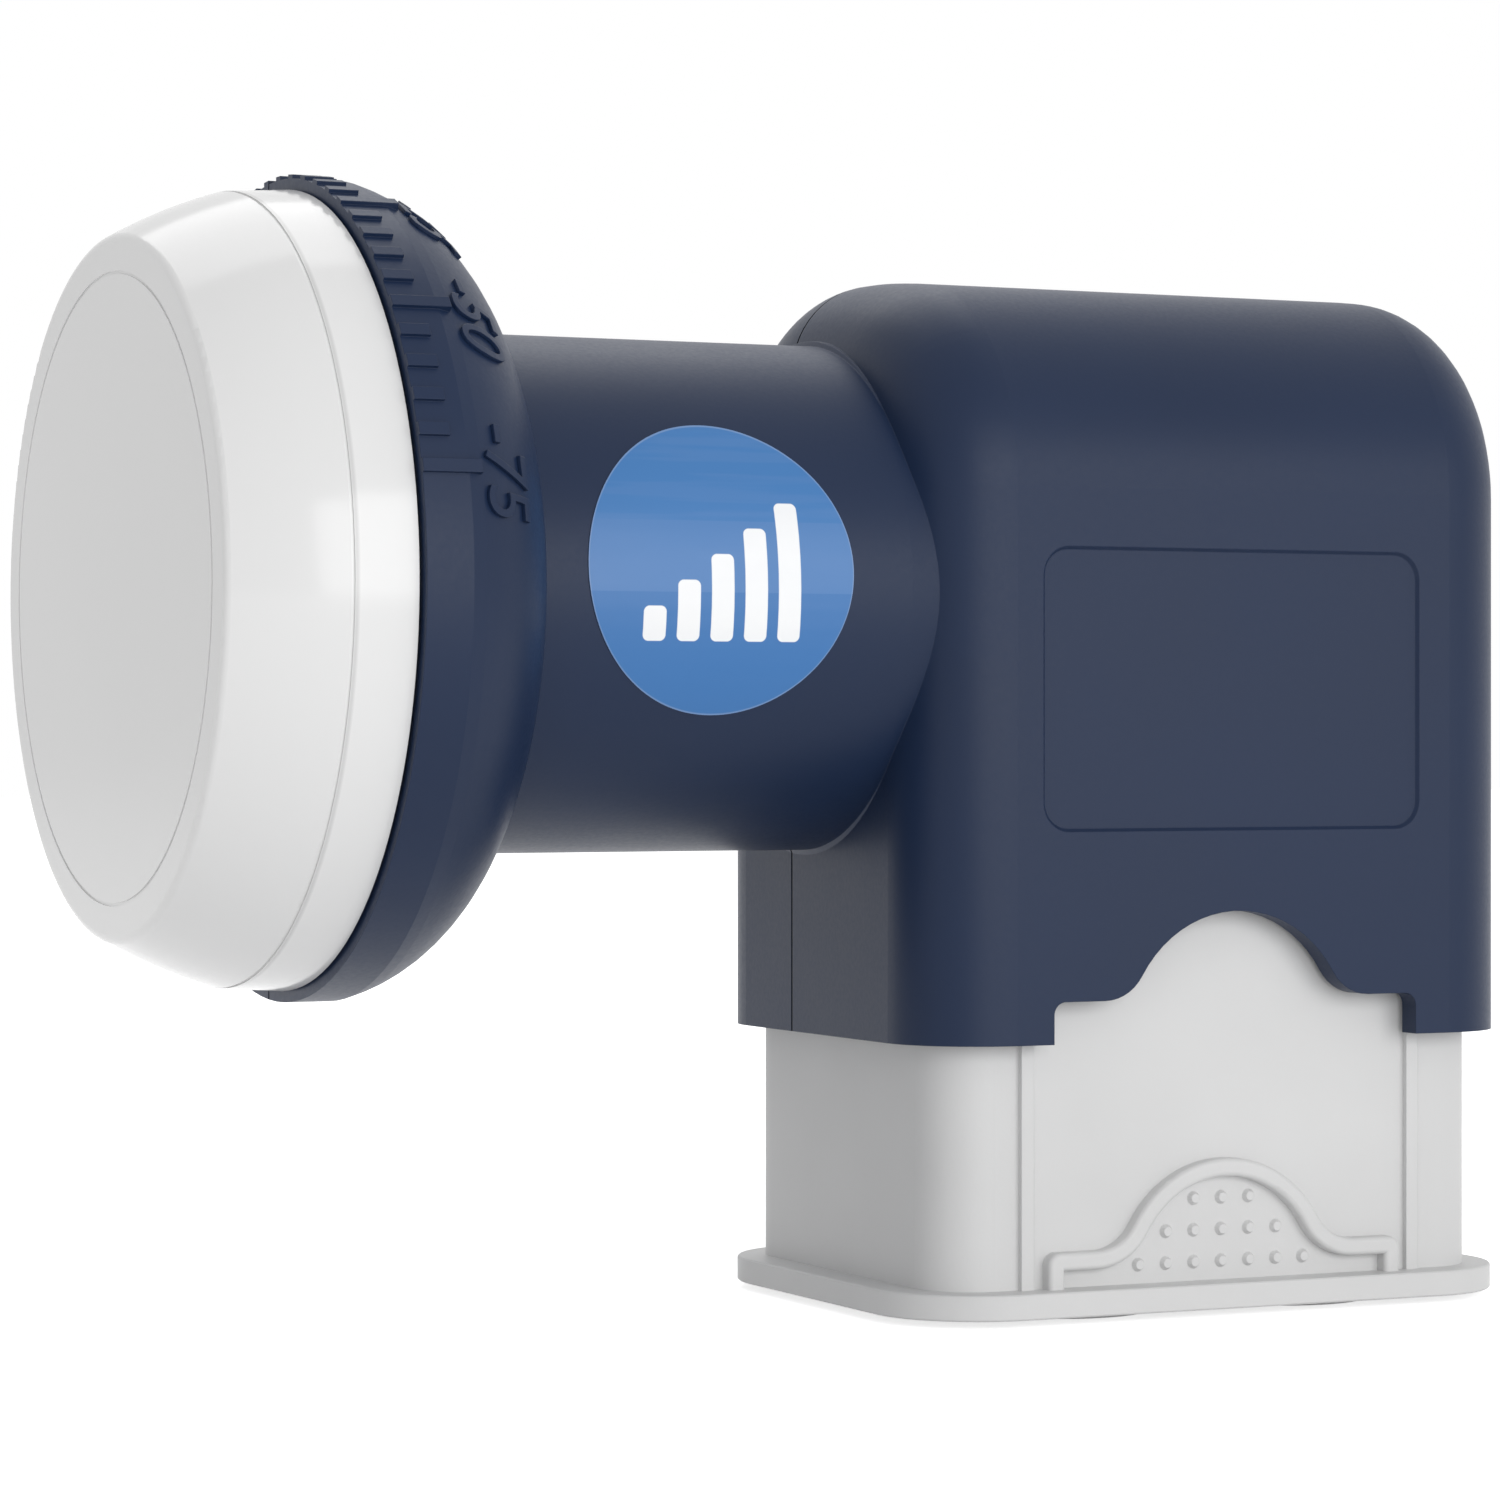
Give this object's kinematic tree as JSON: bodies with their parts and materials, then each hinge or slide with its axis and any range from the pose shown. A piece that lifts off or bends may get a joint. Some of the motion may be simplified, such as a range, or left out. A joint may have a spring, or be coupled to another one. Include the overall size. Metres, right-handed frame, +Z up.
{
  "type": "satellite lnb",
  "caption": "Satellite dish receiver head: round white feed cap, round neck for a feed clamp, blue housing and a grey weather shield that slides over the cable outlets.",
  "frame": {"origin": "on the feed axis, in the middle of the neck that the feed clamp holds", "axes": "+X runs rearwards along the feed axis from the cap to the housing, -Y is the side with the badge recess, +Z is up and the cable outlets face -Z"},
  "size_m": [0.1114, 0.062, 0.0875],
  "materials": {
    "housing_plastic": "fine matte moulded plastic, dark slate blue",
    "cap_plastic": "smooth satin plastic, white",
    "shield_plastic": "fine matte moulded plastic, light grey",
    "label_film": "printed gloss film, blue and white",
    "cast_alloy": "as die cast",
    "nickel_plate": "bright nickel plate",
    "insulator_plastic": "natural white plastic",
    "contact_brass": "bright brass",
    "seal_rubber": "black rubber",
    "screw_steel": "zinc plated",
    "board": "green board",
    "chip_plastic": "black moulded chip"
  },
  "bodies": {
    "housing": {"board_link_pins": "contact_brass", "cap_seal": "seal_rubber", "connector_contact_1": "contact_brass", "connector_contact_2": "contact_brass", "connector_contact_3": "contact_brass", "connector_contact_4": "contact_brass", "connector_insulator_1": "insulator_plastic", "connector_insulator_2": "insulator_plastic", "connector_insulator_3": "insulator_plastic", "connector_insulator_4": "insulator_plastic", "connector_shell_1": "nickel_plate", "connector_shell_2": "nickel_plate", "connector_shell_3": "nickel_plate", "connector_shell_4": "nickel_plate", "connector_washer_1": "seal_rubber", "connector_washer_2": "seal_rubber", "connector_washer_3": "seal_rubber", "connector_washer_4": "seal_rubber", "feed_cap": "cap_plastic", "feed_casting": "cast_alloy", "horizontal_probe": "contact_brass", "housing_far_half": "housing_plastic", "housing_near_half": "housing_plastic", "inner_cover": "cast_alloy", "inner_cover_screws": "screw_steel", "lid_gasket": "seal_rubber", "lid_screws": "screw_steel", "rear_lid": "cast_alloy", "rf_board": "board", "switch_board": "board", "switch_board_screws": "screw_steel", "switch_chips": "chip_plastic", "vertical_probe": "contact_brass"},
    "shield": {"weather_shield": "shield_plastic"}
  },
  "joints": [
    {"name": "weather_shield_slide", "type": "slide", "parent": "housing", "child": "shield", "axis": [0, 0, 1], "range_m": [0, 0.0187]}
  ]
}
